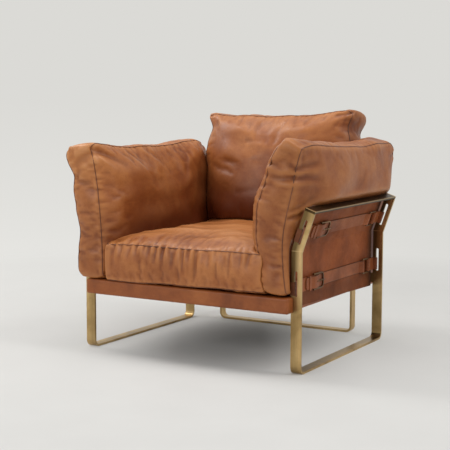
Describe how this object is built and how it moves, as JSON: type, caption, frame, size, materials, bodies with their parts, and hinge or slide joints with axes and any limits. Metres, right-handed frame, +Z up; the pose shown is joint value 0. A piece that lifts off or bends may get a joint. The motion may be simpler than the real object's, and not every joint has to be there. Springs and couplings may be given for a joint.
{
  "type": "lounge armchair",
  "caption": "Low wide lounge armchair: leather seat, back and arm cushions in brass flat-bar frames with buckled leather side panels.",
  "frame": {"origin": "on the floor, in the middle of the chair's width and depth (bottom centre of its box)", "axes": "+X to the right as seen from the front, the chair's widest extent; the sitter faces -Y; +Z up"},
  "size_m": [0.9804, 0.8712, 0.8719],
  "materials": {
    "bar": "aged, brushed, satin",
    "buckle_metal": "antique, polished",
    "cushion_leather": "waxed, soft sheen",
    "deck_leather": "waxed, soft sheen",
    "panel_leather": "thick hide, satin",
    "strap_leather": "bridle leather, satin",
    "timber": "planed, unfinished",
    "webbing": "woven jute",
    "dust_cloth": "matt non-woven cloth",
    "bolt_steel": "zinc plated"
  },
  "bodies": {
    "chair": {"left_lower_sled": "bar", "left_upper_bow": "bar", "left_panel": "panel_leather", "right_lower_sled": "bar", "right_upper_bow": "bar", "right_panel": "panel_leather", "back_lower_sled": "bar", "back_upper_bow": "bar", "back_panel": "panel_leather", "left_upper_buckle_tab": "strap_leather", "left_upper_ring_tab": "strap_leather", "left_upper_strap": "strap_leather", "left_upper_buckle": "buckle_metal", "left_upper_ring": "buckle_metal", "left_lower_buckle_tab": "strap_leather", "left_lower_ring_tab": "strap_leather", "left_lower_strap": "strap_leather", "left_lower_buckle": "buckle_metal", "left_lower_ring": "buckle_metal", "right_upper_buckle_tab": "strap_leather", "right_upper_ring_tab": "strap_leather", "right_upper_strap": "strap_leather", "right_upper_buckle": "buckle_metal", "right_upper_ring": "buckle_metal", "right_lower_buckle_tab": "strap_leather", "right_lower_ring_tab": "strap_leather", "right_lower_strap": "strap_leather", "right_lower_buckle": "buckle_metal", "right_lower_ring": "buckle_metal", "back_upper_buckle_tab": "strap_leather", "back_upper_ring_tab": "strap_leather", "back_upper_strap": "strap_leather", "back_upper_buckle": "buckle_metal", "back_upper_ring": "buckle_metal", "back_lower_buckle_tab": "strap_leather", "back_lower_ring_tab": "strap_leather", "back_lower_strap": "strap_leather", "back_lower_buckle": "buckle_metal", "back_lower_ring": "buckle_metal", "strap_keepers": "strap_leather", "deck_front_rail": "timber", "deck_rear_rail": "timber", "deck_left_rail": "timber", "deck_right_rail": "timber", "seat_webbing": "webbing", "dust_cover": "dust_cloth", "deck_cover": "deck_leather", "frame_lugs": "bar", "lug_bolts": "bolt_steel"},
    "left_upper_prong": {"left_upper_prong": "buckle_metal"},
    "left_lower_prong": {"left_lower_prong": "buckle_metal"},
    "right_upper_prong": {"right_upper_prong": "buckle_metal"},
    "right_lower_prong": {"right_lower_prong": "buckle_metal"},
    "back_upper_prong": {"back_upper_prong": "buckle_metal"},
    "back_lower_prong": {"back_lower_prong": "buckle_metal"},
    "seat_cushion": {"seat_cushion": "cushion_leather"},
    "back_cushion": {"back_cushion": "cushion_leather"},
    "left_arm_cushion": {"left_arm_cushion": "cushion_leather"},
    "right_arm_cushion": {"right_arm_cushion": "cushion_leather"}
  },
  "joints": [
    {"name": "left_upper_prong_pivot", "type": "hinge", "parent": "chair", "child": "left_upper_prong", "pos_m": [-0.42501, -0.21996, 0.47047], "axis": [-0.3256, 0, 0.9455], "range_deg": [0, 12]},
    {"name": "left_lower_prong_pivot", "type": "hinge", "parent": "chair", "child": "left_lower_prong", "pos_m": [-0.40625, -0.21996, 0.29], "axis": [0, 0, 1], "range_deg": [0, 12]},
    {"name": "right_upper_prong_pivot", "type": "hinge", "parent": "chair", "child": "right_upper_prong", "pos_m": [0.42501, -0.21996, 0.47047], "axis": [-0.3256, 0, -0.9455], "range_deg": [0, 12]},
    {"name": "right_lower_prong_pivot", "type": "hinge", "parent": "chair", "child": "right_lower_prong", "pos_m": [0.40625, -0.21996, 0.29], "axis": [0, 0, -1], "range_deg": [0, 12]},
    {"name": "back_upper_prong_pivot", "type": "hinge", "parent": "chair", "child": "back_upper_prong", "pos_m": [0.132, 0.38042, 0.5833], "axis": [0, -0.2079, -0.9781], "range_deg": [0, 12]},
    {"name": "back_lower_prong_pivot", "type": "hinge", "parent": "chair", "child": "back_lower_prong", "pos_m": [0.132, 0.34429, 0.29], "axis": [0, 0, -1], "range_deg": [0, 12]},
    {"name": "seat_cushion_slide", "type": "slide", "parent": "chair", "child": "seat_cushion", "axis": [0, -1, 0], "range_m": [0, 0.3]},
    {"name": "back_cushion_lift", "type": "slide", "parent": "chair", "child": "back_cushion", "axis": [0, 0.2079, 0.9781], "range_m": [0, 0.25]},
    {"name": "left_arm_cushion_lift", "type": "slide", "parent": "chair", "child": "left_arm_cushion", "axis": [0, 0, 1], "range_m": [0, 0.2]},
    {"name": "right_arm_cushion_lift", "type": "slide", "parent": "chair", "child": "right_arm_cushion", "axis": [0, 0, 1], "range_m": [0, 0.2]}
  ]
}
